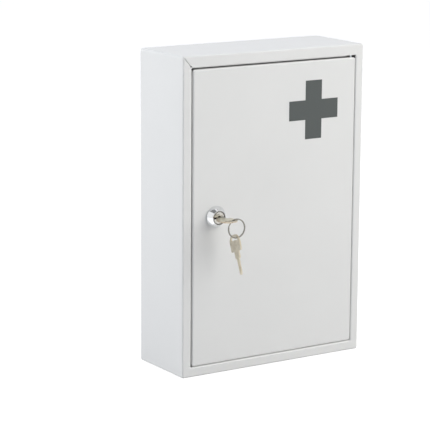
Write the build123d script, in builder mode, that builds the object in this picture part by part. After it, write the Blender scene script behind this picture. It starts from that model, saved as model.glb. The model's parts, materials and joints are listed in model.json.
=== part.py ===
from build123d import *
import os
from math import atan2, cos, degrees, radians, sin, sqrt, tan

os.makedirs("parts", exist_ok=True)

# Lockable medicine cabinet, in millimetres.
# Origin: centre of the casing's bottom face. +X right, +Y towards the wall, +Z up.
# The door faces -Y, hangs on two pins at its right edge and locks at its left edge.

# ---------------------------------------------------------------- driving dimensions
# Casing
width = 215.0               # outside, left to right
depth = 80.0                # outside, door face to wall
height = 320.0              # outside
sheet = 0.8                 # thickness of the folded steel sheet
wrap_radius = 2.0           # outside radius of the four edges that run front to back
bend_radius = 1.6           # outside radius of every other fold
frame_left = 10.1           # width of the front frame at its left,
frame_right = 9.6           # at its right,
frame_top = 12.0            # at the top
frame_bottom = 10.0         # and at the bottom
frame_return = 16.0         # depth of the frame's inward fold
opening_radius = 1.0        # corner radius of the door opening
corner_relief = 2.6         # half-width of the notch where two folds meet
seam_width = 0.5            # open mitre where the strip's two ends meet
seam_start = 1.4            # distance of the seam's outer end from the corner
seam_hole_radius = 0.9      # relief hole at the seam's inner end
seam_hole_side = 1.0        # its centre left of the opening's corner
seam_hole_rise = 1.7        # and above it

# Back panel and shelves
pan_flange = 10.0           # the back panel's folded rim
pan_bend = 1.0              # outside radius of that fold
wall_hole_spacing_x = 150.0
wall_hole_spacing_z = 230.0
wall_hole_radius = 3.0
shelf_rim = 12.0            # height of a shelf's upturned rim
shelf_setback = 20.0        # from the door's face to a shelf's front
shelf_count = 2

# Door
door_gap_lock = 1.3         # running gaps around the door: at its lock edge,
door_gap_hinge = 0.45       # at its hinge edge,
door_gap_top = 1.5          # above it
door_gap_bottom = 0.45      # and below it
door_return = 12.0          # depth of the door's folded rim
door_radius = 1.8           # corner radius of the door
pivot_inset = 4.2           # pin's centre from the door's right edge
pivot_depth = 2.8           # pin's centre behind the door's face
pin_radius = 1.1
pin_clearance = 0.06        # radial, in the door's pin holes
seat_clearance = 0.02       # radial, of a pin or screw in its seat
pin_tail = 2.2              # length of pin beyond the door's rim
pin_head_radius = 1.9
pin_head_height = 0.8
pin_chamfer = 0.3
bracket_thickness = 2.0
bracket_length = 26.0
bracket_depth = 11.0
notch_length = 6.5          # cut-out of the frame's upper edge, left of the pin
washer_radius = 2.0
washer_clearance = 0.1      # between the washer and the door

# Door stops
stop_thickness = 1.0
stop_bend = 0.5             # outside radius of its fold
stop_height = 14.0
stop_leg = 8.0
stop_overhang = 7.0         # reach of the stop into the opening
stop_from_end = 60.0        # centre of a stop from the casing's top or bottom
buffer_radius = 3.0
buffer_clearance = 0.3
buffer_edge = 0.5           # its rounded edge

# Cross
cross_size = 59.2
cross_arm = 19.8
cross_margin_side = 21.5    # from the door's right edge
cross_margin_top = 19.7     # from the door's top edge
cross_thickness = 0.15

# Lock
lock_inset = 26.5           # lock's axis from the door's left edge
lock_height = 159.7         # lock's axis above the casing's bottom face
bezel_radius = 11.0
bezel_height = 7.0
bezel_rim_radius = 7.6
bezel_foot = 0.6            # straight foot under the cone
bezel_edge = 0.2            # its rounded outer edge
bezel_clearance = 0.1       # around the housing's flange
bezel_bore_radius = 7.0
head_radius = 6.7           # the housing's round nose inside the bezel
head_chamfer = 0.25
head_recess = 0.4           # nose behind the bezel's rim
lock_flange_radius = 9.8
lock_flange_height = 1.5
body_radius = 8.0           # the housing's threaded body
body_flat = 6.9             # half-distance between its two flats
hole_clearance = 0.15
plug_radius = 5.6
plug_head_radius = 6.2
plug_head_height = 1.5
plug_chamfer = 0.35
key_seat_height = 1.9       # groove right across the plug's face, along the keyway
key_seat_depth = 0.7
plug_clearance = 0.06       # radial running fit in the housing
plug_square = 7.0           # drive square at the plug's inner end
cam_standoff = 0.3          # cam behind the frame's fold
rear_clearance = 0.2        # housing's inner end short of the cam
lock_nut_across_flats = 22.0
lock_nut_height = 3.0
lock_washer_radius = 10.6
lock_washer_thickness = 0.7
lock_washer_teeth = 12
lock_washer_gap = 1.4       # between its teeth
cam_width = 12.0
cam_hub_radius = 8.0
cam_thickness = 2.0
cam_engagement = 3.5        # overlap behind the frame's fold when locked
cam_tip_radius = 2.5
cam_washer_radius = 5.0
cam_washer_thickness = 0.8
cam_screw_radius = 2.0
cam_screw_length = 4.5
cam_screw_head_radius = 3.6
cam_screw_head_height = 2.4
cam_screw_edge = 0.8        # its rounded head
cam_screw_recess = 1.0
wafer_count = 5
wafer_pitch = 2.4
wafer_first = 4.2           # first wafer from the plug's face
wafer_thickness = 0.9
wafer_width = 6.6
wafer_height = 8.6
wafer_clearance = 0.1

# Keys
key_thickness = 1.3
key_shoulder_gap = 0.6      # key's shoulder in front of the plug
key_neck_length = 7.3
key_neck_width = 8.0
key_neck_corner = 0.6
key_bow_length = 16.5
key_bow_width = 18.0
key_bow_corner = 7.5
key_bow_shoulder_corner = 1.2
key_blade_length = 16.0
key_blade_width = 4.0
key_blade_thickness = 1.1
key_tip_chamfer = 1.2
key_bitting = (0.4, 0.8, 0.3, 0.6, 0.5)     # depth of the blade's cuts, root to tip
key_cut_angle = 60.0        # slope of a cut's two sides
key_groove_width = 0.9
key_groove_depth = 0.25
key_groove_offset = 0.7     # from the blade's centre line
keyway_clearance = 0.15
keyway_reserve = 0.9        # depth of keyway beyond the key's tip
keyway_mouth_radius = 2.1   # round lead-in at the plug's face
keyway_mouth_depth = 3.6
bow_slot_reach = 4.0        # slot's end centre from the key's centre line
bow_slot_half_width = 1.6
bow_slot_rise = 0.7         # how far the slot arches towards the bow's end
bow_slot_margin = 2.4       # metal between the slot and the bow's end
ring_radius = 9.3           # to the centre of the wire
ring_wire_radius = 0.6
hang_clearance = 0.2

# ---------------------------------------------------------------- derived places
front = -depth / 2
back = depth / 2
middle = height / 2
opening_left = frame_left - width / 2
opening_right = width / 2 - frame_right
opening_bottom = frame_bottom
opening_top = height - frame_top
opening_width = opening_right - opening_left
opening_height = opening_top - opening_bottom
opening_centre = ((opening_left + opening_right) / 2, (opening_bottom + opening_top) / 2)
door_left = opening_left + door_gap_lock
door_right = opening_right - door_gap_hinge
door_bottom = opening_bottom + door_gap_bottom
door_top = opening_top - door_gap_top
door_width = door_right - door_left
door_height = door_top - door_bottom
door_centre = ((door_left + door_right) / 2, (door_bottom + door_top) / 2)
pivot_x = door_right - pivot_inset
pivot_y = front + pivot_depth
fold_back = front + bend_radius
lock_x = door_left + lock_inset
plug_face = front - bezel_height + head_recess
cam_front = front + frame_return + cam_standoff
cam_reach = lock_inset + door_gap_lock + sheet + cam_engagement
tail_end = cam_front + cam_thickness


def facing_door(y):
    """Plane at depth y that looks out of the door; its local axes are X and Z."""
    return Plane.XZ.offset(-y)


def facing_lock(y):
    """The same plane, centred on the lock's axis."""
    return Plane(origin=(lock_x, y, lock_height), x_dir=(1, 0, 0), z_dir=(0, -1, 0))


lock_section = Plane(origin=(lock_x, front, lock_height))
lock_axis = Axis((lock_x, front, lock_height), (0, 1, 0))
opening_corners = [(x, z) for x in (opening_left, opening_right) for z in (opening_bottom, opening_top)]


def folded_tray(plane, tray_width, tray_height, tray_depth, corner, fold):
    """Shallow box of folded sheet, centred on the plane's own middle and open towards it."""
    outward = Axis(plane.origin, plane.z_dir)
    with BuildPart() as tray:
        with BuildSketch(plane):
            RectangleRounded(tray_width, tray_height, corner)
        extrude(amount=tray_depth)
        fillet(tray.faces().sort_by(outward)[-1].edges(), fold)
        offset(amount=-sheet, openings=tray.faces().sort_by(outward)[0])
    return tray.part


# ---------------------------------------------------------------- casing
# One strip folded round the four sides, with a mitred front frame and an inward fold
# all round the door opening.
with BuildPart() as casing:
    add(folded_tray(Plane(origin=(0, back, middle), x_dir=(1, 0, 0), z_dir=(0, -1, 0)),
                    width, height, depth, wrap_radius, bend_radius))
    with BuildSketch(facing_door(front)):
        with Locations(opening_centre):
            RectangleRounded(opening_width + 2 * sheet, opening_height + 2 * sheet, opening_radius + sheet)
    extrude(amount=-frame_return)
    frame_hidden = faces().filter_by(Axis.Y).filter_by(lambda f: abs(f.center().Y - front - sheet) < 0.01)
    fillet(frame_hidden.sort_by(SortBy.AREA)[-1].inner_wires()[0].edges(), bend_radius - sheet)
    with BuildSketch(facing_door(front)):
        with Locations(opening_centre):
            RectangleRounded(opening_width, opening_height, opening_radius)
    extrude(amount=-depth / 2, mode=Mode.SUBTRACT)
    fillet(faces().sort_by(Axis.Y)[0].inner_wires()[0].edges(), bend_radius)
    # The folds don't meet in the corners.
    with BuildSketch(facing_door(fold_back)):
        with Locations(*opening_corners):
            Rectangle(2 * corner_relief, 2 * corner_relief)
    extrude(amount=-frame_return, mode=Mode.SUBTRACT)
    # The upper pin crosses a notch in the fold and its bend, the lower one a plain hole.
    notch_width = opening_right - pivot_x + notch_length
    for notch_front, notch_rise in ((front, sheet), (front + sheet, bend_radius)):
        with BuildSketch(facing_door(notch_front)):
            with Locations((opening_right - notch_width / 2, opening_top + notch_rise / 2)):
                Rectangle(notch_width, notch_rise)
        extrude(amount=-frame_return, mode=Mode.SUBTRACT)
    with BuildSketch(Plane.XY.offset(opening_bottom)):
        with Locations((pivot_x, pivot_y)):
            Circle(pin_radius + pin_clearance)
    extrude(amount=-sheet, mode=Mode.SUBTRACT)
    # The strip's two ends meet in an open mitre at the top left.
    with BuildSketch(facing_door(front)):
        seam_outer = Vector(-width / 2 + seam_start, height - seam_start)
        seam_inner = Vector(opening_left - seam_hole_side, opening_top + seam_hole_rise)
        seam = seam_inner - seam_outer
        with Locations(Location(tuple(seam_outer + seam / 2), degrees(atan2(seam.Y, seam.X)))):
            Rectangle(seam.length, seam_width)
        with Locations(seam_inner):
            Circle(seam_hole_radius)
    extrude(amount=-bend_radius, mode=Mode.SUBTRACT)
casing.part.label = "casing"

# ---------------------------------------------------------------- back panel
with BuildPart() as back_panel:
    add(folded_tray(Plane(origin=(0, back - pan_flange, middle), x_dir=(-1, 0, 0), z_dir=(0, 1, 0)),
                    width - 2 * sheet, height - 2 * sheet, pan_flange, wrap_radius - sheet, pan_bend))
    with BuildSketch(facing_door(back - pan_bend)):
        with Locations((0, middle)):
            with GridLocations(width - 2 * sheet, height - 2 * sheet, 2, 2):
                Rectangle(2 * corner_relief, 2 * corner_relief)
    extrude(amount=pan_flange, mode=Mode.SUBTRACT)
    with BuildSketch(facing_door(back)):
        with Locations((0, middle)):
            with GridLocations(wall_hole_spacing_x, wall_hole_spacing_z, 2, 2):
                Circle(wall_hole_radius)
    extrude(amount=sheet, mode=Mode.SUBTRACT)
back_panel.part.label = "back_panel"


# ---------------------------------------------------------------- shelves
def shelf_at(level):
    """Tray-shaped shelf with an upturned rim at its front and sides."""
    shelf_depth = back - sheet - front - shelf_setback
    with BuildPart() as shelf:
        with BuildSketch(Plane.XY.offset(level)):
            with Locations((0, back - sheet - shelf_depth / 2)):
                Rectangle(width - 2 * sheet, shelf_depth)
        extrude(amount=shelf_rim)
        upright = shelf.edges().filter_by(Axis.Z).group_by(Axis.Y)[0]
        fillet(upright, wrap_radius)
        under = faces().sort_by(Axis.Z)[0].edges().filter_by(lambda e: e.center().Y < back - 2 * sheet)
        fillet(under, bend_radius)
        offset(amount=-sheet, openings=[faces().sort_by(Axis.Z)[-1], faces().sort_by(Axis.Y)[-1]])
        # Room for the back panel's rim
        with BuildSketch(Plane.XY.offset(level)):
            with Locations((0, back - sheet)):
                with GridLocations(width - 2 * sheet, 0, 2, 1):
                    Rectangle(2 * corner_relief, 2 * pan_flange)
        extrude(amount=shelf_rim, mode=Mode.SUBTRACT)
    return shelf.part


shelf_levels = [height * (shelf_number + 1) / (shelf_count + 1) for shelf_number in range(shelf_count)]
shelves = [shelf_at(level) for level in shelf_levels]
for shelf_number, shelf_part in enumerate(shelves):
    shelf_part.label = f"shelf_{shelf_number + 1}"

# ---------------------------------------------------------------- door
with BuildPart() as door_panel:
    rim_middle = (door_centre[0], front + door_return, door_centre[1])
    rim_plane = Plane(origin=rim_middle, x_dir=(1, 0, 0), z_dir=(0, -1, 0))
    add(folded_tray(rim_plane, door_width, door_height, door_return, door_radius, bend_radius))
    # The rim's four folds don't meet in the corners.
    with BuildSketch(facing_door(fold_back)):
        with Locations(door_centre):
            with GridLocations(door_width, door_height, 2, 2):
                Rectangle(2 * corner_relief, 2 * corner_relief)
    extrude(amount=-door_return, mode=Mode.SUBTRACT)
    with BuildSketch(facing_lock(front)):
        Circle(body_radius + hole_clearance)
        Rectangle(2 * lock_flange_radius, 2 * (body_flat + hole_clearance), mode=Mode.INTERSECT)
    extrude(amount=-sheet, mode=Mode.SUBTRACT)
    with BuildSketch(Plane.XY.offset(door_bottom)):
        with Locations((pivot_x, pivot_y)):
            Circle(pin_radius + pin_clearance)
    extrude(amount=door_height, mode=Mode.SUBTRACT)
door_panel.part.label = "door_panel"

# ---------------------------------------------------------------- cross
with BuildPart() as cross_decal:
    with BuildSketch(facing_door(front)):
        cross_x = door_right - cross_margin_side - cross_size / 2
        cross_z = door_top - cross_margin_top - cross_size / 2
        with Locations((cross_x, cross_z)):
            Rectangle(cross_size, cross_arm)
            Rectangle(cross_arm, cross_size)
    extrude(amount=cross_thickness)
cross_decal.part.label = "cross_decal"


# ---------------------------------------------------------------- hinge
def hinge_plane(top):
    """Plane on the frame's fold at the pin; its local Z points away from the door."""
    level = opening_top + sheet if top else opening_bottom - sheet
    return Plane(origin=(pivot_x, pivot_y, level), x_dir=(1, 0, 0), z_dir=(0, 0, 1 if top else -1))


def bracket_at(top):
    """Flat plate welded onto the frame's fold, which carries the pin."""
    side = 1 if top else -1
    bracket_middle = fold_back - pivot_y + bracket_depth / 2
    with BuildPart() as bracket:
        with BuildSketch(hinge_plane(top)):
            with Locations((opening_right - pivot_x - bracket_length / 2, side * bracket_middle)):
                RectangleRounded(bracket_length, bracket_depth, bend_radius)
            Circle(pin_radius + seat_clearance, mode=Mode.SUBTRACT)
        extrude(amount=bracket_thickness)
    return bracket.part


def pin_at(top):
    """Headed pin, from the bracket through the door's rim."""
    with BuildPart() as pin:
        with BuildSketch(hinge_plane(top).offset(bracket_thickness)):
            Circle(pin_head_radius)
        extrude(amount=pin_head_height)
        with BuildSketch(hinge_plane(top).offset(bracket_thickness)):
            Circle(pin_radius)
        door_gap = door_gap_top if top else door_gap_bottom
        extrude(amount=-(bracket_thickness + 2 * sheet + door_gap + pin_tail))
        chamfer(edges().filter_by(GeomType.CIRCLE).sort_by(Axis.Z, reverse=not top)[0], pin_chamfer)
    return pin.part


hinge_ends = {"upper": True, "lower": False}
brackets = {end: bracket_at(top) for end, top in hinge_ends.items()}
pins = {end: pin_at(top) for end, top in hinge_ends.items()}
for end in hinge_ends:
    brackets[end].label = f"hinge_bracket_{end}"
    pins[end].label = f"hinge_pin_{end}"

# Thrust washer between the frame's lower fold and the door, on the lower pin
with BuildPart() as hinge_washer:
    with BuildSketch(Plane.XY.offset(opening_bottom)):
        with Locations((pivot_x, pivot_y)):
            Circle(washer_radius)
            Circle(pin_radius + pin_clearance, mode=Mode.SUBTRACT)
    extrude(amount=door_gap_bottom - washer_clearance)
hinge_washer.part.label = "hinge_washer"


# ---------------------------------------------------------------- door stops
def stop_at(level):
    """Angle welded to the hidden side of the frame's left fold, behind the door's rim."""
    fold_outer = opening_left - sheet
    with BuildPart() as stop:
        with BuildSketch(Plane.XY.offset(level - stop_height / 2)):
            with BuildLine():
                Polyline((fold_outer - stop_thickness, front + frame_return - stop_leg),
                         (fold_outer, front + frame_return - stop_leg),
                         (fold_outer, front + frame_return),
                         (opening_left + stop_overhang, front + frame_return),
                         (opening_left + stop_overhang, front + frame_return + stop_thickness),
                         (fold_outer - stop_thickness, front + frame_return + stop_thickness), close=True)
            make_face()
        extrude(amount=stop_height)
        fillet(edges().filter_by(Axis.Z).group_by(Axis.Y)[-1].sort_by(Axis.X)[0], stop_bend)
    return stop.part


def buffer_at(level):
    """Rubber disc on the stop, which the door's rim meets."""
    with BuildPart() as buffer_disc:
        with BuildSketch(facing_door(front + frame_return)):
            with Locations((opening_left + buffer_clearance + buffer_radius, level)):
                Circle(buffer_radius)
        extrude(amount=frame_return - door_return - buffer_clearance)
        fillet(edges().filter_by(GeomType.CIRCLE).sort_by(Axis.Y)[0], buffer_edge)
    return buffer_disc.part


stop_levels = {"upper": height - stop_from_end, "lower": stop_from_end}
stops = {end: stop_at(level) for end, level in stop_levels.items()}
buffers = {end: buffer_at(level) for end, level in stop_levels.items()}
for end in stop_levels:
    stops[end].label = f"door_stop_{end}"
    buffers[end].label = f"buffer_{end}"

# ---------------------------------------------------------------- lock, fixed to the door
# Conical trim ring on the door's face
with BuildPart() as lock_bezel:
    with BuildSketch(lock_section):
        with BuildLine():
            Polyline((bezel_radius, 0), (bezel_radius, -bezel_foot), (bezel_rim_radius, -bezel_height),
                     (bezel_bore_radius, -bezel_height),
                     (bezel_bore_radius, -lock_flange_height - bezel_clearance),
                     (lock_flange_radius + bezel_clearance, -lock_flange_height - bezel_clearance),
                     (lock_flange_radius + bezel_clearance, 0), close=True)
        make_face()
    revolve(axis=lock_axis)
    fillet(edges().filter_by(GeomType.CIRCLE).sort_by(Axis.Y).sort_by(SortBy.RADIUS)[-1], bezel_edge)
lock_bezel.part.label = "lock_bezel"

# Housing: round nose, flange against the door's face, and body with two flats
with BuildPart() as lock_housing:
    with BuildSketch(facing_lock(cam_front - rear_clearance)):
        Circle(body_radius)
        Rectangle(2 * lock_flange_radius, 2 * body_flat, mode=Mode.INTERSECT)
    extrude(amount=cam_front - rear_clearance - front)
    with BuildSketch(facing_lock(front)):
        Circle(lock_flange_radius)
    extrude(amount=lock_flange_height)
    with BuildSketch(facing_lock(front)):
        Circle(head_radius)
    extrude(amount=front - plug_face)
    chamfer(faces().sort_by(Axis.Y)[0].edges(), head_chamfer)
    with BuildSketch(facing_lock(plug_face)):
        Circle(plug_radius + plug_clearance)
    extrude(amount=-(tail_end - plug_face), mode=Mode.SUBTRACT)
    with BuildSketch(facing_lock(plug_face)):
        Circle(plug_head_radius + plug_clearance)
    extrude(amount=-(plug_head_height + plug_clearance), mode=Mode.SUBTRACT)
lock_housing.part.label = "lock_housing"

# Toothed washer and nut behind the door's face
with BuildPart() as lock_washer:
    with BuildSketch(facing_lock(front + sheet)):
        Circle(lock_washer_radius)
        Circle(body_radius + hole_clearance, mode=Mode.SUBTRACT)
        with PolarLocations(body_radius + hole_clearance, lock_washer_teeth):
            Rectangle(lock_washer_gap, lock_washer_gap, mode=Mode.SUBTRACT)
    extrude(amount=-lock_washer_thickness)
lock_washer.part.label = "lock_washer"

with BuildPart() as lock_nut:
    with BuildSketch(facing_lock(front + sheet + lock_washer_thickness)):
        RegularPolygon(lock_nut_across_flats / 2, 6, major_radius=False)
        Circle(body_radius + hole_clearance, mode=Mode.SUBTRACT)
    extrude(amount=-lock_nut_height)
lock_nut.part.label = "lock_nut"

# ---------------------------------------------------------------- lock, turning
keyway_width = key_blade_width + 2 * keyway_clearance
keyway_height = key_blade_thickness + 2 * keyway_clearance
wafer_fronts = [plug_face + wafer_first + wafer_pitch * number for number in range(wafer_count)]

# Plug: head, barrel with keyway and wafer slots, drive square and screw hole
with BuildPart() as lock_plug:
    with BuildSketch(facing_lock(cam_front)):
        Circle(plug_radius)
    extrude(amount=cam_front - plug_face)
    with BuildSketch(facing_lock(plug_face)):
        Circle(plug_head_radius)
    extrude(amount=-plug_head_height)
    chamfer(faces().sort_by(Axis.Y)[0].edges(), plug_chamfer)
    with BuildSketch(facing_lock(cam_front)):
        Rectangle(plug_square, plug_square)
    extrude(amount=-(cam_thickness - rear_clearance))
    with BuildSketch(facing_lock(plug_face)):
        Rectangle(keyway_width, keyway_height)
    extrude(amount=-(key_blade_length + keyway_reserve), mode=Mode.SUBTRACT)
    with BuildSketch(facing_lock(plug_face)):
        Circle(keyway_mouth_radius)
    extrude(amount=-keyway_mouth_depth, mode=Mode.SUBTRACT)
    with BuildSketch(facing_lock(plug_face)):
        Rectangle(3 * plug_head_radius, key_seat_height)
    extrude(amount=-key_seat_depth, mode=Mode.SUBTRACT)
    for wafer_front in wafer_fronts:
        with BuildSketch(facing_lock(wafer_front - wafer_clearance)):
            Rectangle(wafer_width + 2 * wafer_clearance, 2 * plug_head_radius)
        extrude(amount=-(wafer_thickness + 2 * wafer_clearance), mode=Mode.SUBTRACT)
    with BuildSketch(facing_lock(tail_end)):
        Circle(cam_screw_radius + seat_clearance)
    extrude(amount=cam_screw_length, mode=Mode.SUBTRACT)
lock_plug.part.label = "lock_plug"

# Wafers, held in line by the key
with BuildPart() as lock_wafers:
    for wafer_front in wafer_fronts:
        with BuildSketch(facing_lock(wafer_front)):
            Rectangle(wafer_width, wafer_height)
            Rectangle(keyway_width, keyway_height, mode=Mode.SUBTRACT)
        extrude(amount=-wafer_thickness)
lock_wafers.part.label = "lock_wafers"

# Cam, which points down when unlocked and to the left, behind the frame's fold, when locked
with BuildPart() as lock_cam:
    with BuildSketch(facing_lock(tail_end)):
        with Locations((0, -cam_reach / 2)):
            Rectangle(cam_width, cam_reach)
        fillet(vertices().group_by(Axis.Y)[0], cam_tip_radius)
        Circle(cam_hub_radius)
        Rectangle(plug_square + 2 * wafer_clearance, plug_square + 2 * wafer_clearance, mode=Mode.SUBTRACT)
    extrude(amount=cam_thickness)
lock_cam.part.label = "lock_cam"

with BuildPart() as cam_washer:
    with BuildSketch(facing_lock(tail_end)):
        Circle(cam_washer_radius)
        Circle(cam_screw_radius + seat_clearance, mode=Mode.SUBTRACT)
    extrude(amount=-cam_washer_thickness)
cam_washer.part.label = "cam_washer"

with BuildPart() as cam_screw:
    with BuildSketch(facing_lock(tail_end + cam_washer_thickness)):
        Circle(cam_screw_radius)
    extrude(amount=cam_screw_length)
    with BuildSketch(facing_lock(tail_end + cam_washer_thickness)):
        Circle(cam_screw_head_radius)
    extrude(amount=-cam_screw_head_height)
    fillet(edges().filter_by(GeomType.CIRCLE).sort_by(Axis.Y)[-1], cam_screw_edge)
    with BuildSketch(facing_lock(tail_end + cam_washer_thickness + cam_screw_head_height)):
        Rectangle(cam_screw_head_radius, cam_screw_recess)
        Rectangle(cam_screw_recess, cam_screw_head_radius)
    extrude(amount=cam_screw_recess, mode=Mode.SUBTRACT)
cam_screw.part.label = "cam_screw"

# ---------------------------------------------------------------- keys
bow_end = -(key_neck_length + key_bow_length)
slot_top = bow_end + bow_slot_margin + bow_slot_half_width
slot_end = slot_top + bow_slot_rise
slot_line = ThreePointArc((-bow_slot_reach, slot_end), (0, slot_top), (bow_slot_reach, slot_end))
key_root = plug_face - key_shoulder_gap
cut_places = [wafer_front + wafer_thickness / 2 - key_root for wafer_front in wafer_fronts]


def key_on(plane):
    """Flat key: the plane's origin is the blade's root, its local Y runs to the tip."""
    with BuildPart() as key:
        with BuildSketch(plane.offset(-key_thickness / 2)):
            with Locations((0, bow_end + key_bow_length / 2)):
                Rectangle(key_bow_width, key_bow_length)
            fillet(vertices().group_by(Axis.Y)[0], key_bow_corner)
            fillet(vertices().group_by(Axis.Y)[-1], key_bow_shoulder_corner)
            with Locations((0, -key_neck_length / 2 - key_bow_shoulder_corner / 2)):
                Rectangle(key_neck_width, key_neck_length + key_bow_shoulder_corner)
            fillet(vertices().group_by(Axis.Y)[-1], key_neck_corner)
            SlotArc(slot_line, 2 * bow_slot_half_width, mode=Mode.SUBTRACT)
        extrude(amount=key_thickness)
        with BuildSketch(plane.offset(-key_blade_thickness / 2)):
            with Locations((0, key_blade_length / 2 - key_bow_shoulder_corner / 2)):
                Rectangle(key_blade_width, key_blade_length + key_bow_shoulder_corner)
            chamfer(vertices().group_by(Axis.Y)[-1], key_tip_chamfer)
            # One cut for each wafer, the same on both edges
            for cut_place, cut_depth in zip(cut_places, key_bitting):
                cut_width = wafer_thickness + 4 * cut_depth / tan(radians(key_cut_angle))
                for side in (-1, 1):
                    with Locations(Location((side * key_blade_width / 2, cut_place), side * 90)):
                        Trapezoid(cut_width, 2 * cut_depth, key_cut_angle, mode=Mode.SUBTRACT)
        extrude(amount=key_blade_thickness)
        # A groove along each side of the blade
        for side in (-1, 1):
            with BuildSketch(plane.offset(side * key_blade_thickness / 2)):
                with Locations((side * key_groove_offset, key_blade_length / 2)):
                    Rectangle(key_groove_width, key_blade_length)
            extrude(amount=-side * key_groove_depth, mode=Mode.SUBTRACT)
    return key.part


key_part = key_on(Plane(origin=(lock_x, key_root, lock_height)))
key_part.label = "key"

# The ring hangs on the strip of metal between the slot's right end and the bow's edge.
strip_inner = bow_slot_reach + bow_slot_half_width
strip_half = (key_bow_width / 2 - strip_inner) / 2
ring_inner = ring_radius - ring_wire_radius
ring_x = lock_x + strip_inner + strip_half
ring_y = key_root + (slot_top + slot_end) / 2
ring_z = lock_height + key_thickness / 2 - sqrt(ring_inner ** 2 - strip_half ** 2) + hang_clearance
with BuildPart() as key_ring:
    with BuildSketch(Plane(origin=(ring_x, ring_y, ring_z))):
        with Locations((ring_radius, 0)):
            Circle(ring_wire_radius)
    revolve(axis=Axis((ring_x, ring_y, ring_z), (0, 1, 0)))
key_ring.part.label = "key_ring"

# The spare key hangs on the ring's lowest point by its slot's end, its own weight below that point.
seat_x = bow_slot_reach
seat_y = slot_end - bow_slot_half_width + ring_wire_radius + hang_clearance
drop = key_on(Plane.XY).center(CenterOf.MASS).Y - seat_y
lean = atan2(seat_x, drop)
across = Vector(0, -cos(lean), sin(lean))
along = Vector(0, -sin(lean), -cos(lean))
ring_bottom = Vector(ring_x, ring_y, ring_z - ring_radius)
spare_root = ring_bottom - across * seat_x - along * seat_y
spare_key_part = key_on(Plane(origin=spare_root, x_dir=across, z_dir=(1, 0, 0)))
spare_key_part.label = "spare_key"

# ---------------------------------------------------------------- one file per piece
pieces = [casing.part, back_panel.part, door_panel.part, cross_decal.part, hinge_washer.part]
pieces += shelves + list(brackets.values()) + list(pins.values())
pieces += list(stops.values()) + list(buffers.values())
pieces += [lock_bezel.part, lock_housing.part, lock_washer.part, lock_nut.part, lock_plug.part]
pieces += [lock_wafers.part, lock_cam.part, cam_washer.part, cam_screw.part]
pieces += [key_part, key_ring.part, spare_key_part]
for piece in pieces:
    export_step(piece, f"parts/{piece.label}.step")

# Places that a record of the joints needs
print("hinge axis", round(pivot_x, 4), round(pivot_y, 4))
print("lock axis", round(lock_x, 4), lock_height)
print("plug face", round(plug_face, 4), "cam front", round(cam_front, 4))
print("ring centre", round(ring_x, 4), round(ring_y, 4), round(ring_z, 4), "lean", round(degrees(lean), 3))
print("frame opening", opening_width, opening_height, "door", door_width, door_height)
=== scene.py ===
import json
import math

import bmesh
import bpy
from mathutils import Matrix, Vector


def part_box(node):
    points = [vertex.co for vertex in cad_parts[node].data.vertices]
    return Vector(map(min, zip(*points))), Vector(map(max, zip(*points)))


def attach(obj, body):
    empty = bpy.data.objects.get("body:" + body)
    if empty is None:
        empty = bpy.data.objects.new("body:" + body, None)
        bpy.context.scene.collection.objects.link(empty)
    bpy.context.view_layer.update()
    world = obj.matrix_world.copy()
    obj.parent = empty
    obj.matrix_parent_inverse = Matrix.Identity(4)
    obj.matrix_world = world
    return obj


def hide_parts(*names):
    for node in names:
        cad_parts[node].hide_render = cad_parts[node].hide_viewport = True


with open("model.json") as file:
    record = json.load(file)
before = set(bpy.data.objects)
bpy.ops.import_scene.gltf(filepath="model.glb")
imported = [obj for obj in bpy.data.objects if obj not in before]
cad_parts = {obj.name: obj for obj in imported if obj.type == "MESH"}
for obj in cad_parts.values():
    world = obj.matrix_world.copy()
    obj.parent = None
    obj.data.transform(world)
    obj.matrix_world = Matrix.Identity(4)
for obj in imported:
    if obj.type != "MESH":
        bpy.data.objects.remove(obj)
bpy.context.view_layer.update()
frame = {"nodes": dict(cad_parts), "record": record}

nodes = frame["nodes"]

# ---------------------------------------------------------------- sizes, in metres
MM = 0.001
MICRON = 0.001 * MM

trim_low, trim_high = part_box("lock_bezel")
housing_low, housing_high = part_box("lock_housing")
nut_low, nut_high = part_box("lock_nut")
plug_low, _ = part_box("lock_plug")
ring_low, ring_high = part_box("key_ring")

# Middle of the lock's hole, on the door's face. Lengths along -Y from here are towards the room.
LOCK_SEAT = Vector(((trim_low.x + trim_high.x) / 2, trim_high.y, (trim_low.z + trim_high.z) / 2))

# Trim ring
TRIM_RADIUS = (trim_high.x - trim_low.x) / 2
TRIM_HEIGHT = trim_high.y - trim_low.y
TRIM_FOOT = 1.5 * MM
TRIM_FOOT_ROUND = 0.2 * MM
TRIM_CROWN_OUT = 0.18 * MM          # how far the cone's middle bulges from a straight line, outwards
TRIM_CROWN_UP = 0.1 * MM            # and towards the room
TRIM_CROWN_ROUND = 16 * MM
TRIM_RIM_RADIUS = 7.6 * MM
TRIM_RIM_SLOPE_OUT = 0.2 * MM       # the rim's outer slope, across
TRIM_RIM_SLOPE_DOWN = 0.3 * MM      # and along
TRIM_RIM_ROUND = 0.18 * MM
TRIM_BORE_RADIUS = 7.0 * MM
TRIM_BORE_ROUND = 0.15 * MM
TRIM_CLEARANCE = 0.1 * MM           # round and above the housing's flange

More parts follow.
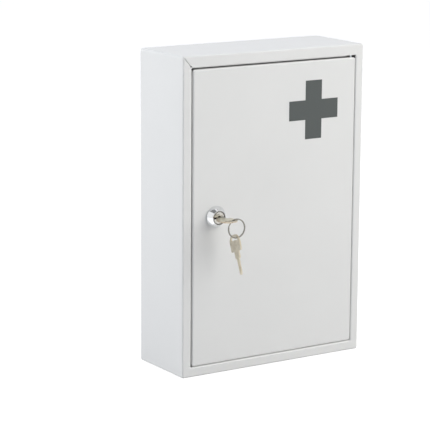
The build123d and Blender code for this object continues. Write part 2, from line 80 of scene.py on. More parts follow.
# Lock housing
FLANGE_RADIUS = (housing_high.x - housing_low.x) / 2
FLANGE_HEIGHT = 1.5 * MM
FLANGE_ROUND = 0.2 * MM
NOSE_RADIUS = 6.7 * MM
NOSE_HEIGHT = LOCK_SEAT.y - housing_low.y
NOSE_ROUND = 0.1 * MM
NOSE_CHAMFER = 0.2 * MM             # inside the nose, round the plug
HEAD_BORE_RADIUS = 6.26 * MM        # round the plug's head
HEAD_BORE_DEPTH = 1.56 * MM
HOUSING_BORE = 5.66 * MM            # round the plug's barrel
HOUSING_LENGTH = housing_high.y - LOCK_SEAT.y
THREAD_RADIUS = 8.0 * MM
THREAD_PITCH = 1.0 * MM
THREAD_DEPTH = 0.5 * MM
THREAD_FLAT = 6.9 * MM              # half the distance between the housing's two flats
ROWS_PER_PITCH = 8

# Lock plug
PLUG_BARREL_RADIUS = 5.6 * MM
PLUG_CHAMFER = 0.35 * MM
PLUG_FACE = plug_low.y

# Painted shade in the lock's recesses, measured from the plug's face
SHADE_START = 0.1 * MM
SHADE_DEPTH = 20 * MM
SHADE_INSET = 0.3 * MM             # from the plug's barrel, which stays unshaded outside

# Nut
NUT_BORE = 8.15 * MM
NUT_CHAMFER = math.radians(30)
NUT_FACE = 0.97                     # radius of the flat faces, as a share of half the width across flats

# Split ring
RING_CENTRE = (ring_low + ring_high) / 2
RING_HALF_HEIGHT = (ring_high.y - ring_low.y) / 2
RING_HALF_WIDTH = 0.55 * MM
RING_RADIUS = (ring_high.x - ring_low.x) / 2 - RING_HALF_HEIGHT
RING_FILL = 0.94                    # the wire's share of each turn's height; the rest is air
RING_ROUND = 0.12 * MM
RING_CROSSING = math.radians(150)   # where the wire steps over from one turn to the other
RING_GAP = 0.045                    # from the crossing to each of the wire's ends, in turns
RING_STEPS = 240

# Width of the rounded edges of the copies that stand for plain CAD pieces, in millimetres
EDGE_WIDTHS = {"key": 0.2, "spare_key": 0.2, "lock_plug": 0.06, "lock_cam": 0.2, "lock_washer": 0.1,
               "cam_washer": 0.15, "cam_screw": 0.1, "hinge_pin_upper": 0.12, "hinge_pin_lower": 0.12,
               "hinge_bracket_upper": 0.2, "hinge_bracket_lower": 0.2, "hinge_washer": 0.15,
               "door_stop_upper": 0.15, "door_stop_lower": 0.15}
EDGE_SEGMENTS = 3
EDGE_ANGLE = math.radians(30)       # edges sharper than this are rounded over
FLAT_ANGLE = math.radians(0.5)      # faces that meet at less than this are joined first
SIDE_COSINE = 0.5                   # a face turned further than this from the broad face is a narrow side

# Mesh detail
WELD_DISTANCE = 0.0005 * MM
ROUND_STEPS = 96
ANGLES = [2 * math.pi * step / ROUND_STEPS for step in range(ROUND_STEPS)]

# ---------------------------------------------------------------- finishes
# Noises: cells to the metre, detail, roughness
ORANGE_PEEL = (520, 1.5, 0.5)
FINE_GRAIN = (3200, 2.0, 0.5)
SLOW_DRIFT = (14, 3.0, 0.5)
RUBBED_LINES = (5200, 3.0, 0.65)
SMUDGES = (260, 3.0, 0.5)
NICKS = (1500, 2.0, 0.5)
NOISE_MIDDLE = (0.3, 0.7)           # where most of a noise's values lie

# Powder film
GRAIN_IN_TONE = 0.25
GRAIN_IN_RELIEF = 0.35
TONE_LIMITS = (0.4, 0.85)           # of the drift with the grain's share
TONE_FACTORS = (0.985, 1.012)       # on the colour, at those limits
DRIFT_GLOSS = (-0.04, 0.04)         # added to the roughness

# Handled metal
RUBBING_STRETCH = (1.0, 0.12, 1.0)  # the rubbed lines run along Y
RUBBING_GLOSS = (-0.06, 0.1)        # added to the roughness
SMUDGE_LIMITS = (0.42, 0.72)
SMUDGE_STAIN = (0.0, 1.0)
NICK_LIMITS = (0.6, 0.75)
NICK_STAIN = (0.0, 0.4)
STAIN_GLOSS = 0.25                  # added to the roughness where the metal is fully stained
BARE_AND_SHADED_LIMITS = (0.35, 0.6)
BARE_AND_SHADED_SHARE = (0.25, 1.0)            # of the plating that is gone where an edge is fully worn, and on the inserted key the share of painted shade

WEAR_AND_SHADE = "edge_wear_and_shade"                  # face attribute: 1 on rounded edges, less on narrow sides, 0 elsewhere; it lays worn plating on the spare key and painted shade on the inserted key
SIDE_WEAR_AND_SHADE = 0.75
EDGE_WEAR_AND_SHADE = 1.0

# ---------------------------------------------------------------- studio
PHOTO_SIZE = 430                    # the picture's side, in pixels
FOCAL_PIXELS = 1986.6               # the lens's focal length, in those pixels
SENSOR_WIDTH = 36.0                 # in millimetres
CLIP_RANGE = (0.05, 50.0)
CAMERA_DISTANCE = 1.9983
CAMERA_AZIMUTH = math.radians(-32.739)
CAMERA_ELEVATION = math.radians(11.846)
CAMERA_ROLL = math.radians(0.343)
CAMERA_TARGET = Vector((-0.04455, 0.0, 0.15161))

FLOOR_GAP = 0.3 * MM                # between the floor and the casing
FLOOR_HALF_SIDE = 6.0
FLOOR_TONE = 0.4                    # of the sheet itself, which the lamps light
FLOOR_GLOW = 0.85                   # added where the sheet is looked at
FLOOR_ROUGHNESS = 0.9

WORLD_LIGHT = 0.37                  # as a share of the white that is seen
OVERHEAD_TINT = (0.92, 1.01, 1.28, 1.0)

# Cards that only shiny metal shows: place, size, tone
CARDS = {"upper_left_card": ((-0.42, -0.14, 1.1), (0.95, 0.7), 0.27),
         "upper_right_card": ((0.52, 0.02, 1.0), (0.6, 0.7), 0.45),
         "front_card": ((0.17, -0.42, 0.14), (0.4, 0.44), 0.95)}

# Lamps: place, size, watts, tint
SOFTBOXES = {"key_softbox": ((0.97, -1.03, 0.98), (1.9, 1.6), 31, (1.0, 0.99, 0.945)),
             "left_softbox": ((-1.07, 0.42, 0.67), (0.9, 1.0), 12, (0.965, 0.98, 0.985))}
SOFTBOX_TARGET = (0, 0, 0.16)


# ---------------------------------------------------------------- shader tools
def feed(tree, socket, value):
    """Links a socket to another node's output, or sets it to a constant."""
    if isinstance(value, bpy.types.NodeSocket):
        tree.links.new(value, socket)
    else:
        socket.default_value = value


def noise(tree, coordinates, kind):
    """Noise between 0 and 1; kind is one of the noises listed above."""
    scale, detail, roughness = kind
    node = tree.nodes.new("ShaderNodeTexNoise")
    node.inputs["Scale"].default_value = scale
    node.inputs["Detail"].default_value = detail
    node.inputs["Roughness"].default_value = roughness
    tree.links.new(coordinates, node.inputs["Vector"])
    return node.outputs["Fac"]


def remap(tree, value, source, result):
    """Value carried from the range source to the range result, and held within it."""
    node = tree.nodes.new("ShaderNodeMapRange")
    for label, number in zip(("From Min", "From Max", "To Min", "To Max"), source + result):
        node.inputs[label].default_value = number
    tree.links.new(value, node.inputs["Value"])
    return node.outputs["Result"]


def arithmetic(tree, operation, first, second):
    node = tree.nodes.new("ShaderNodeMath")
    node.operation = operation
    feed(tree, node.inputs[0], first)
    feed(tree, node.inputs[1], second)
    return node.outputs[0]


def blend_colours(tree, factor, first, second):
    node = tree.nodes.new("ShaderNodeMix")
    node.data_type = "RGBA"
    for label, value in (("Factor", factor), ("A", first), ("B", second)):
        feed(tree, [socket for socket in node.inputs if socket.name == label and socket.enabled][0], value)
    return [socket for socket in node.outputs if socket.enabled][0]


def seen_directly(tree):
    """1 for camera, glossy and transmission rays, 0 for the light that falls on things."""
    path = tree.nodes.new("ShaderNodeLightPath")
    mirrored = arithmetic(tree, "MAXIMUM", path.outputs["Is Glossy Ray"], path.outputs["Is Transmission Ray"])
    return arithmetic(tree, "MAXIMUM", path.outputs["Is Camera Ray"], mirrored)


def colour(red, green, blue):
    return (red, green, blue, 1.0)


def grey(tone):
    return colour(tone, tone, tone)


# ---------------------------------------------------------------- shared shader groups
def shader_group(name, inputs):
    """Group with the given inputs, name -> default, which gives a colour, a roughness and a height."""
    group = bpy.data.node_groups.new(name, "ShaderNodeTree")
    for label, default in inputs.items():
        kind = "NodeSocketColor" if isinstance(default, tuple) else "NodeSocketFloat"
        socket = group.interface.new_socket(label, in_out="INPUT", socket_type=kind)
        socket.default_value = default
    for label, kind in (("Colour", "Color"), ("Roughness", "Float"), ("Height", "Float")):
        group.interface.new_socket(label, in_out="OUTPUT", socket_type="NodeSocket" + kind)
    entry = group.nodes.new("NodeGroupInput")
    leave = group.nodes.new("NodeGroupOutput")
    place = group.nodes.new("ShaderNodeTexCoord").outputs["Object"]
    return group, entry.outputs, leave.inputs, place


def make_powder_group():
    """Cured powder: orange peel, a very fine grain, and slow drifts of tone and gloss."""
    group, given, result, place = shader_group(
        "powder_film", {"Colour": grey(0.7), "Roughness": 0.45, "Peel": 1.0})
    peel = noise(group, place, ORANGE_PEEL)
    grain = noise(group, place, FINE_GRAIN)
    drift = noise(group, place, SLOW_DRIFT)
    mottle = arithmetic(group, "ADD", drift, arithmetic(group, "MULTIPLY", grain, GRAIN_IN_TONE))
    tinted = group.nodes.new("ShaderNodeVectorMath")
    tinted.operation = "SCALE"
    group.links.new(given["Colour"], tinted.inputs[0])
    group.links.new(remap(group, mottle, TONE_LIMITS, TONE_FACTORS), tinted.inputs["Scale"])
    group.links.new(tinted.outputs[0], result["Colour"])
    gloss = remap(group, drift, NOISE_MIDDLE, DRIFT_GLOSS)
    group.links.new(arithmetic(group, "ADD", given["Roughness"], gloss), result["Roughness"])
    relief = arithmetic(group, "ADD", peel, arithmetic(group, "MULTIPLY", grain, GRAIN_IN_RELIEF))
    group.links.new(arithmetic(group, "MULTIPLY", relief, given["Peel"]), result["Height"])
    return group


def make_metal_group():
    """Handled metal: fine rubbed lines along one direction, smudges and small nicks."""
    group, given, result, place = shader_group(
        "handled_metal",
        {"Colour": grey(0.6), "Tarnish": colour(0.3, 0.27, 0.2), "Core_and_shade": colour(0.6, 0.44, 0.2),
         "Roughness": 0.25, "Rubbing": 1.0, "Dullness": 0.3, "Wear_and_shade": 0.0})
    stretched = group.nodes.new("ShaderNodeMapping")
    stretched.inputs["Scale"].default_value = RUBBING_STRETCH
    group.links.new(place, stretched.inputs["Vector"])
    rubbing = noise(group, stretched.outputs[0], RUBBED_LINES)
    smudge = noise(group, place, SMUDGES)
    nick = noise(group, place, NICKS)
    smudged = remap(group, smudge, SMUDGE_LIMITS, SMUDGE_STAIN)
    smudged = arithmetic(group, "MULTIPLY", smudged, given["Dullness"])
    nicked = remap(group, nick, NICK_LIMITS, NICK_STAIN)
    nicked = arithmetic(group, "MULTIPLY", nicked, given["Dullness"])
    stain = arithmetic(group, "ADD", smudged, nicked)
    plated = blend_colours(group, stain, given["Colour"], given["Tarnish"])
    # On the inserted key this lays painted shade on the edges and narrow sides
    bare_and_shaded = arithmetic(group, "MULTIPLY", remap(group, smudge, BARE_AND_SHADED_LIMITS, BARE_AND_SHADED_SHARE), given["Wear_and_shade"])
    group.links.new(blend_colours(group, bare_and_shaded, plated, given["Core_and_shade"]), result["Colour"])
    lines = remap(group, rubbing, NOISE_MIDDLE, RUBBING_GLOSS)
    lines = arithmetic(group, "MULTIPLY", lines, given["Rubbing"])
    rubbed = arithmetic(group, "ADD", given["Roughness"], lines)
    dulled = arithmetic(group, "MULTIPLY", stain, STAIN_GLOSS)
    group.links.new(arithmetic(group, "ADD", rubbed, dulled), result["Roughness"])
    group.links.new(arithmetic(group, "MULTIPLY", rubbing, given["Rubbing"]), result["Height"])
    return group


POWDER = make_powder_group()
METAL = make_metal_group()


# ---------------------------------------------------------------- materials
def finish_material(name, group, settings, relief, metallic=0.0):
    """Principled material whose colour, roughness and bump come from one of the shared groups."""
    material = bpy.data.materials.new(name)
    material.use_nodes = True
    tree = material.node_tree
    shader = tree.nodes["Principled BSDF"]
    effect = tree.nodes.new("ShaderNodeGroup")
    effect.node_tree = group
    for label, value in settings.items():
        effect.inputs[label].default_value = value
    tree.links.new(effect.outputs["Colour"], shader.inputs["Base Color"])
    tree.links.new(effect.outputs["Roughness"], shader.inputs["Roughness"])
    dents = tree.nodes.new("ShaderNodeBump")
    dents.inputs["Distance"].default_value = relief * MICRON
    dents.inputs["Strength"].default_value = 1.0
    tree.links.new(effect.outputs["Height"], dents.inputs["Height"])
    tree.links.new(dents.outputs[0], shader.inputs["Normal"])
    shader.inputs["Metallic"].default_value = metallic
    if "Core_and_shade" in settings:
        edges = tree.nodes.new("ShaderNodeAttribute")
        edges.attribute_name = WEAR_AND_SHADE
        tree.links.new(edges.outputs["Fac"], effect.inputs["Wear_and_shade"])
    return material


def coating(name, tone, roughness, peel, relief):
    """Finish that is no metal; relief is in microns."""
    settings = {"Colour": colour(*tone), "Roughness": roughness, "Peel": peel}
    return finish_material(name, POWDER, settings, relief)


def metal(name, tone, tarnish, roughness, rubbing, dullness, relief, core_and_shade=None):
    """Metal finish; a core colour, if given, is laid on edges and narrow sides by the edge mask: worn plating
    on the spare key, painted shade on the inserted key.
    """
    settings = {"Colour": colour(*tone), "Tarnish": colour(*tarnish), "Roughness": roughness,
                "Rubbing": rubbing, "Dullness": dullness}
    if core_and_shade:
        settings["Core_and_shade"] = colour(*core_and_shade)
    return finish_material(name, METAL, settings, relief, 1.0)


powder_coat = coating("powder_coat", (0.735, 0.735, 0.725), roughness=0.42, peel=1.0, relief=12)
cross_film = coating("cross_film", (0.071, 0.08, 0.078), roughness=0.5, peel=0.4, relief=10)
washer_nylon = coating("washer_nylon", (0.74, 0.74, 0.7), roughness=0.4, peel=0.3, relief=10)
buffer_rubber = coating("buffer_rubber", (0.02, 0.02, 0.021), roughness=0.6, peel=0.8, relief=20)
# Near-black painted shade for the lock's recesses, keyway and the gap round the plug, where shade falls
lock_recess_shade = coating("lock_recess_shade", (0.022, 0.02, 0.018), roughness=0.45, peel=0.6, relief=10)
bezel_chrome = metal("bezel_chrome", (0.80, 0.81, 0.82), (0.55, 0.56, 0.57),
                     roughness=0.07, rubbing=0.3, dullness=0.2, relief=0.6)
lock_nickel = metal("lock_nickel", (0.72, 0.70, 0.65), (0.42, 0.38, 0.3),
                    roughness=0.15, rubbing=0.6, dullness=0.3, relief=2)
key_nickel = metal("key_nickel", (0.72, 0.67, 0.56), (0.42, 0.36, 0.26),
                   roughness=0.34, rubbing=1.0, dullness=0.45, relief=3, core_and_shade=(0.71, 0.61, 0.45))
# Lighter copy of the key metal for the inserted key: its lighter plating is painted light, and its dark core
# on edges and narrow sides is painted shade
key_lit_and_shaded = metal("key_lit_and_shaded", (0.78, 0.75, 0.64), (0.5, 0.46, 0.34),
                 roughness=0.34, rubbing=1.0, dullness=0.4, relief=3, core_and_shade=(0.42, 0.3, 0.2))
ring_steel = metal("ring_steel", (0.30, 0.29, 0.26), (0.16, 0.14, 0.12),
                   roughness=0.25, rubbing=0.6, dullness=0.4, relief=2)
zinc_steel = metal("zinc_steel", (0.70, 0.75, 0.78), (0.5, 0.5, 0.45),
                   roughness=0.3, rubbing=0.7, dullness=0.35, relief=2)
wafer_brass = metal("wafer_brass", (0.72, 0.55, 0.24), (0.4, 0.26, 0.1),
                    roughness=0.28, rubbing=0.8, dullness=0.4, relief=2)

SLOT_MATERIALS = {"painted_steel": powder_coat, "cross_film": cross_film, "zinc_steel": zinc_steel,
                  "washer_nylon": washer_nylon, "buffer_rubber": buffer_rubber, "bezel_chrome": bezel_chrome,
                  "lock_nickel": lock_nickel, "wafer_brass": wafer_brass, "key_nickel": key_nickel,
                  "ring_steel": ring_steel}
NODE_SLOTS = {subpart["node"]: subpart["material_slot"] for subpart in frame["record"]["subparts"]}

for node, slot in NODE_SLOTS.items():
    nodes[node].data.materials.clear()
    nodes[node].data.materials.append(SLOT_MATERIALS[slot])


# ---------------------------------------------------------------- mesh tools
def around(centre, radius, angle, along):
    """Point at a radius and an angle round the Y axis through centre, moved along that axis."""
    return centre + Vector((radius * math.cos(angle), along, radius * math.sin(angle)))


def rounded_outline(corners, steps=4):
    """Closed outline through corners (a, b, radius), with an arc at each corner that has a radius."""
    outline = []
    for index, (a, b, radius) in enumerate(corners):
        here = Vector((a, b))
        if not radius:
            outline.append(here)
            continue
        before = (Vector(corners[index - 1][:2]) - here).normalized()
        after = (Vector(corners[(index + 1) % len(corners)][:2]) - here).normalized()
        half = before.angle(after) / 2
        centre = here + (before + after).normalized() * radius / math.sin(half)
        start = here + before * radius / math.tan(half) - centre
        end = here + after * radius / math.tan(half) - centre
        start_angle = math.atan2(start.y, start.x)
        sweep = (math.atan2(end.y, end.x) - start_angle + math.pi) % (2 * math.pi) - math.pi
        for step in range(steps + 1):
            angle = start_angle + sweep * step / steps
            outline.append(centre + Vector((math.cos(angle), math.sin(angle))) * radius)
    return outline


def spin_outline(mesh, outline, centre):
    """Adds the outline (radius, place along Y), spun right round the Y axis through centre."""
    verts = [mesh.verts.new(centre + Vector((radius, along, 0))) for radius, along in outline]
    edges = [mesh.edges.new((verts[index - 1], vert)) for index, vert in enumerate(verts)]
    bmesh.ops.spin(mesh, geom=verts + edges, cent=centre, axis=(0, 1, 0), angle=2 * math.pi,
                   steps=ROUND_STEPS, use_merge=True)


def join_loops(mesh, loops):
    """Faces between neighbouring loops of vertices, each loop closed."""
    for first, second in zip(loops, loops[1:]):
        for index in range(len(first)):
            mesh.faces.new((first[index - 1], first[index], second[index], second[index - 1]))


def add_object(name, data):
    thing = bpy.data.objects.new(name, data)
    bpy.context.scene.collection.objects.link(thing)
    return thing


def add_mesh_object(name, mesh):
    """Object from a bmesh, which is freed."""
    data = bpy.data.meshes.new(name)
    mesh.to_mesh(data)
    mesh.free()
    return add_object(name, data)


def finish_piece(mesh, name, material, body, replaced, sharp=30):
    """Object from a finished mesh: faced outwards, riding on its body, and smooth except at its sharp edges.

    An edge is sharp where its faces turn by more than the angle sharp, in degrees.
    """
    bmesh.ops.remove_doubles(mesh, verts=mesh.verts, dist=WELD_DISTANCE)
    bmesh.ops.recalc_face_normals(mesh, faces=mesh.faces)
    for face in mesh.faces:
        face.smooth = True
    for edge in mesh.edges:
        edge.smooth = edge.calc_face_angle(math.pi) < math.radians(sharp)
    piece = add_mesh_object(name, mesh)
    piece.data.materials.append(material)
    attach(piece, body)
    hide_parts(replaced)
    return piece


def paint_recess_shade(piece, radius, depth=SHADE_DEPTH):
    """Painted shade on the lock's inner walls, down to a depth behind the plug's face and within a radius."""
    if lock_recess_shade.name not in piece.data.materials:
        piece.data.materials.append(lock_recess_shade)
    for face in piece.data.polygons:
        place = face.center - LOCK_SEAT
        behind = PLUG_FACE + SHADE_START < face.center.y < PLUG_FACE + depth
        if behind and math.hypot(place.x, place.z) < radius:
            face.material_index = 1


# ---------------------------------------------------------------- lock
def make_trim():
    """Chromed trim ring: straight foot, crowned cone, and a rolled rim round the housing's nose."""
    recess_radius = FLANGE_RADIUS + TRIM_CLEARANCE
    recess_depth = FLANGE_HEIGHT + TRIM_CLEARANCE
    crown = ((TRIM_RADIUS + TRIM_RIM_RADIUS) / 2 + TRIM_CROWN_OUT,
             -(TRIM_FOOT + TRIM_HEIGHT) / 2 - TRIM_CROWN_UP, TRIM_CROWN_ROUND)
    corners = [(TRIM_RADIUS, 0, 0), (TRIM_RADIUS, -TRIM_FOOT, TRIM_FOOT_ROUND), crown,
               (TRIM_RIM_RADIUS + TRIM_RIM_SLOPE_OUT, TRIM_RIM_SLOPE_DOWN - TRIM_HEIGHT, 0),
               (TRIM_RIM_RADIUS, -TRIM_HEIGHT, TRIM_RIM_ROUND),
               (TRIM_BORE_RADIUS, -TRIM_HEIGHT, TRIM_BORE_ROUND), (TRIM_BORE_RADIUS, -recess_depth, 0),
               (recess_radius, -recess_depth, 0), (recess_radius, 0, 0)]
    mesh = bmesh.new()
    spin_outline(mesh, rounded_outline(corners), LOCK_SEAT)
    finish_piece(mesh, "lock_trim", bezel_chrome, "door", "lock_bezel", sharp=50)


def make_housing():
    """Lock housing: threaded body with two flats behind the door, flange and round nose before it."""
    mesh = bmesh.new()
    rows = round(HOUSING_LENGTH / THREAD_PITCH * ROWS_PER_PITCH)
    loops = []
    for row in range(rows + 1):
        along = HOUSING_LENGTH * row / rows
        chamfer = max(0.0, along - HOUSING_LENGTH + THREAD_PITCH)
        loop = []
        for step, angle in enumerate(ANGLES):
            crest = 1 - abs(2 * ((along / THREAD_PITCH - step / ROUND_STEPS) % 1) - 1)
            radius = THREAD_RADIUS - max(THREAD_DEPTH * (1 - crest), chamfer)
            loop.append(mesh.verts.new(around(LOCK_SEAT, radius, angle, along)))
        loops.append(loop)
    for along in (HOUSING_LENGTH, 0.0):
        loops.append([mesh.verts.new(around(LOCK_SEAT, HOUSING_BORE, angle, along)) for angle in ANGLES])
    join_loops(mesh, loops + loops[:1])
    for side in (-1, 1):
        cut = bmesh.ops.bisect_plane(mesh, geom=mesh.verts[:] + mesh.edges[:] + mesh.faces[:],
                                     plane_co=LOCK_SEAT + Vector((0, 0, side * THREAD_FLAT)),
                                     plane_no=(0, 0, side), clear_outer=True)
        rim = [element for element in cut["geom_cut"] if isinstance(element, bmesh.types.BMEdge)]
        bmesh.ops.holes_fill(mesh, edges=rim, sides=0)
    corners = [(FLANGE_RADIUS, 0, 0), (FLANGE_RADIUS, -FLANGE_HEIGHT, FLANGE_ROUND),
               (NOSE_RADIUS, -FLANGE_HEIGHT, 0), (NOSE_RADIUS, -NOSE_HEIGHT, NOSE_ROUND),
               (HEAD_BORE_RADIUS + NOSE_CHAMFER, -NOSE_HEIGHT, 0),
               (HEAD_BORE_RADIUS, NOSE_CHAMFER - NOSE_HEIGHT, 0),
               (HEAD_BORE_RADIUS, HEAD_BORE_DEPTH - NOSE_HEIGHT, 0),
               (HOUSING_BORE, HEAD_BORE_DEPTH - NOSE_HEIGHT, 0), (HOUSING_BORE, 0, 0)]
    spin_outline(mesh, rounded_outline(corners), LOCK_SEAT)
    barrel = finish_piece(mesh, "lock_barrel", lock_nickel, "door", "lock_housing")
    # Painted shade inside the nose and bore, which shows as a dark ring round the plug
    paint_recess_shade(barrel, HEAD_BORE_RADIUS + NOSE_CHAMFER)


def make_nut():
    """Hexagon nut with its corners chamfered at both faces."""
    middle = (nut_low + nut_high) / 2
    half_height = (nut_high.y - nut_low.y) / 2
    half_flats = (nut_high.z - nut_low.z) / 2
    face_radius = half_flats * NUT_FACE
    lead_in = THREAD_DEPTH
    mesh = bmesh.new()
    loops = [[] for _ in range(8)]      # one for each corner of the section
    for angle in ANGLES:
        # Angle from the middle of the nearest of the six sides
        side_angle = (angle - math.pi / 2 + math.pi / 6) % (math.pi / 3) - math.pi / 6
        hexagon = half_flats / math.cos(side_angle)
        shoulder = half_height - (hexagon - face_radius) * math.tan(NUT_CHAMFER)
        section = [(NUT_BORE, lead_in - half_height), (NUT_BORE + lead_in, -half_height),
                   (face_radius, -half_height), (hexagon, -shoulder), (hexagon, shoulder),
                   (face_radius, half_height), (NUT_BORE + lead_in, half_height),
                   (NUT_BORE, half_height - lead_in)]
        for loop, (radius, along) in zip(loops, section):
            loop.append(mesh.verts.new(around(middle, radius, angle, along)))
    join_loops(mesh, loops + loops[:1])
    finish_piece(mesh, "lock_ring_nut", zinc_steel, "door", "lock_nut", sharp=20)


# ---------------------------------------------------------------- split ring
def make_split_ring():
    """Flat spring wire wound twice, whose first turn steps over to the second at the crossing."""
    sides = ((1, -RING_FILL), (1, RING_FILL), (-1, RING_FILL), (-1, -RING_FILL))
    section = rounded_outline([(side * RING_HALF_WIDTH, rise * RING_HALF_HEIGHT / 2, RING_ROUND)
                               for side, rise in sides], steps=3)
    mesh = bmesh.new()
    loops = []
    for step in range(RING_STEPS + 1):
        turn = RING_GAP + (2 - 2 * RING_GAP) * step / RING_STEPS
        ease = min(1.0, max(0.0, (turn - 1) / (2 * RING_GAP) + 0.5))
        offset = RING_HALF_HEIGHT * (ease * ease * (3 - 2 * ease) - 0.5)
        angle = RING_CROSSING + 2 * math.pi * turn
        outward = Vector((math.cos(angle), 0, math.sin(angle)))
        loop = []
        for wide, thick in section:
            place = RING_CENTRE + outward * (RING_RADIUS + wide) + Vector((0, offset + thick, 0))
            loop.append(mesh.verts.new(place))
        loops.append(loop)
    join_loops(mesh, loops)
    mesh.faces.new(loops[0])
    mesh.faces.new(loops[-1])
    finish_piece(mesh, "split_ring", ring_steel, "ring", "key_ring", sharp=40)


# ---------------------------------------------------------------- copies with rounded edges
def make_softened_copy(node, body, slot, width):
    """Copy of a CAD piece whose sharp edges are rounded over, and marked for wear and, on the inserted key,
    for painted shade.
    """
    mesh = bmesh.new()
    mesh.from_mesh(nodes[node].data)
    bmesh.ops.remove_doubles(mesh, verts=mesh.verts, dist=WELD_DISTANCE)
    bmesh.ops.dissolve_limit(mesh, angle_limit=FLAT_ANGLE, verts=mesh.verts, edges=mesh.edges)
    sharp = [edge for edge in mesh.edges if edge.calc_face_angle(0) > EDGE_ANGLE]
    wear_and_shade = mesh.faces.layers.float.new(WEAR_AND_SHADE)
    broad = max(mesh.faces, key=lambda face: face.calc_area()).normal.copy()
    for face in mesh.faces:
        if abs(face.normal.dot(broad)) < SIDE_COSINE:
            face[wear_and_shade] = SIDE_WEAR_AND_SHADE
    rounded = bmesh.ops.bevel(mesh, geom=sharp, offset=width, offset_type="OFFSET", segments=EDGE_SEGMENTS,
                              profile=0.5, affect="EDGES", clamp_overlap=True, material=-1)
    for face in rounded["faces"]:
        face[wear_and_shade] = EDGE_WEAR_AND_SHADE
    # The inserted key takes the lighter copy of the key metal, with painted light on its plating and painted
    # shade on its edges
    material = key_lit_and_shaded if node == "key" else SLOT_MATERIALS[slot]
    return finish_piece(mesh, node + "_soft", material, body, node, sharp=45)


def make_softened_copies():
    for body, members in frame["record"]["behaviour"]["bodies"].items():
        for node in members:
            if node in EDGE_WIDTHS:
                copy = make_softened_copy(node, body, NODE_SLOTS[node], EDGE_WIDTHS[node] * MM)
                if node == "lock_plug":
                    # Painted shade in the plug's keyway and hollows, and a painted dark ring on its chamfer
                    paint_recess_shade(copy, PLUG_BARREL_RADIUS - SHADE_INSET)
                    paint_recess_shade(copy, HEAD_BORE_RADIUS, PLUG_CHAMFER)


make_trim()
make_housing()
make_nut()
make_split_ring()
make_softened_copies()


# ---------------------------------------------------------------- floor, light and camera
def stage_material(name, base, glow):
    """Material without shine that lights itself; its shader is given too."""
    material = bpy.data.materials.new(name)
    material.use_nodes = True
    shader = material.node_tree.nodes["Principled BSDF"]
    shader.inputs["Base Color"].default_value = grey(base)
    shader.inputs["Specular IOR Level"].default_value = 0.0
    shader.inputs["Emission Color"].default_value = grey(glow)
    shader.inputs["Emission Strength"].default_value = 1.0
    return material, shader


def aim(thing, place, target, axis):
    """Puts a thing at a place, with one of its own axes towards the target."""
    thing.location = place
    thing.rotation_mode = "QUATERNION"
    thing.rotation_quaternion = (Vector(target) - Vector(place)).to_track_quat(axis, "Y")


def make_floor():
    """Sheet under the cabinet: white except in the cabinet's shadow, and clear when looked at from below."""
    mesh = bmesh.new()
    bmesh.ops.create_grid(mesh, x_segments=1, y_segments=1, size=FLOOR_HALF_SIDE)
    floor = add_mesh_object("floor_sheet", mesh)
    floor.location.z = -FLOOR_GAP
    material, shader = stage_material("floor_white", FLOOR_TONE, 1.0)
    shader.inputs["Roughness"].default_value = FLOOR_ROUGHNESS
    tree = material.node_tree
    glow = arithmetic(tree, "MULTIPLY", seen_directly(tree), FLOOR_GLOW)
    tree.links.new(glow, shader.inputs["Emission Strength"])
    from_below = arithmetic(tree, "MULTIPLY", tree.nodes.new("ShaderNodeNewGeometry").outputs["Backfacing"],
                            tree.nodes.new("ShaderNodeLightPath").outputs["Is Camera Ray"])
    choice = tree.nodes.new("ShaderNodeMixShader")
    tree.links.new(from_below, choice.inputs["Fac"])
    tree.links.new(shader.outputs[0], choice.inputs[1])
    tree.links.new(tree.nodes.new("ShaderNodeBsdfTransparent").outputs[0], choice.inputs[2])
    tree.links.new(choice.outputs[0], tree.nodes["Material Output"].inputs["Surface"])
    floor.data.materials.append(material)


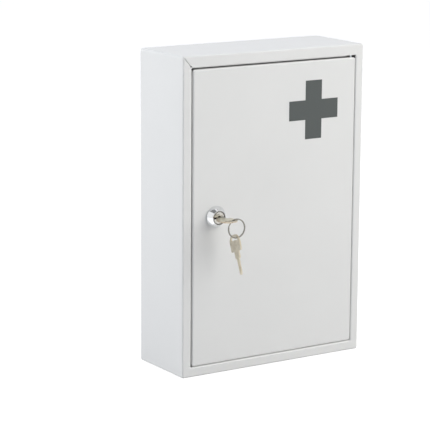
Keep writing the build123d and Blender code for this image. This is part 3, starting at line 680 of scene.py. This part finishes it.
def make_world():
    """Even surroundings: white as a background, softer as a light, and bluer from overhead."""
    world = bpy.data.worlds.new("studio")
    bpy.context.scene.world = world
    world.use_nodes = True
    tree = world.node_tree
    background = tree.nodes["Background"]
    direction = tree.nodes.new("ShaderNodeSeparateXYZ")
    tree.links.new(tree.nodes.new("ShaderNodeTexCoord").outputs["Generated"], direction.inputs[0])
    seen = seen_directly(tree)
    height = remap(tree, direction.outputs["Z"], (0, 1), (0, 1))
    overhead = arithmetic(tree, "MULTIPLY", height, arithmetic(tree, "SUBTRACT", 1.0, seen))
    tree.links.new(blend_colours(tree, overhead, grey(1), OVERHEAD_TINT), background.inputs["Color"])
    tree.links.new(remap(tree, seen, (0, 1), (WORLD_LIGHT, 1.0)), background.inputs["Strength"])


def make_card(name, place, size, tone):
    """Grey card turned to the lock, above it or before it, which only shiny metal shows."""
    mesh = bmesh.new()
    bmesh.ops.create_grid(mesh, x_segments=1, y_segments=1, size=0.5)
    bmesh.ops.scale(mesh, vec=(*size, 1), verts=mesh.verts)
    card = add_mesh_object(name, mesh)
    aim(card, place, LOCK_SEAT, "Z")
    for kind in ("camera", "diffuse", "shadow", "transmission"):
        setattr(card, "visible_" + kind, False)
    card.data.materials.append(stage_material(name, 0.0, tone)[0])


def make_softbox(name, place, size, watts, tint):
    """Soft lamp turned to the cabinet, which shiny metal doesn't show."""
    lamp = bpy.data.lights.new(name, "AREA")
    lamp.shape = "RECTANGLE"
    lamp.size, lamp.size_y = size
    lamp.energy = watts
    lamp.color = tint
    holder = add_object(name, lamp)
    aim(holder, place, SOFTBOX_TARGET, "-Z")
    holder.visible_glossy = False


def make_camera():
    """The photograph's view."""
    data = bpy.data.cameras.new("photo_view")
    data.sensor_width = SENSOR_WIDTH
    data.lens = FOCAL_PIXELS / PHOTO_SIZE * data.sensor_width
    data.clip_start, data.clip_end = CLIP_RANGE
    camera = add_object("photo_view", data)
    back = Vector((math.sin(CAMERA_AZIMUTH) * math.cos(CAMERA_ELEVATION),
                   -math.cos(CAMERA_AZIMUTH) * math.cos(CAMERA_ELEVATION), math.sin(CAMERA_ELEVATION)))
    camera.location = CAMERA_TARGET + back * CAMERA_DISTANCE
    camera.rotation_mode = "QUATERNION"
    level = (-back).to_track_quat("-Z", "Y")
    camera.rotation_quaternion = level @ Matrix.Rotation(CAMERA_ROLL, 3, "Z").to_quaternion()
    bpy.context.scene.camera = camera


make_floor()
make_world()
for name, (place, size, tone) in CARDS.items():
    make_card(name, place, size, tone)
for name, (place, size, watts, tint) in SOFTBOXES.items():
    make_softbox(name, place, size, watts, tint)
make_camera()
bpy.context.scene.view_settings.view_transform = "Standard"
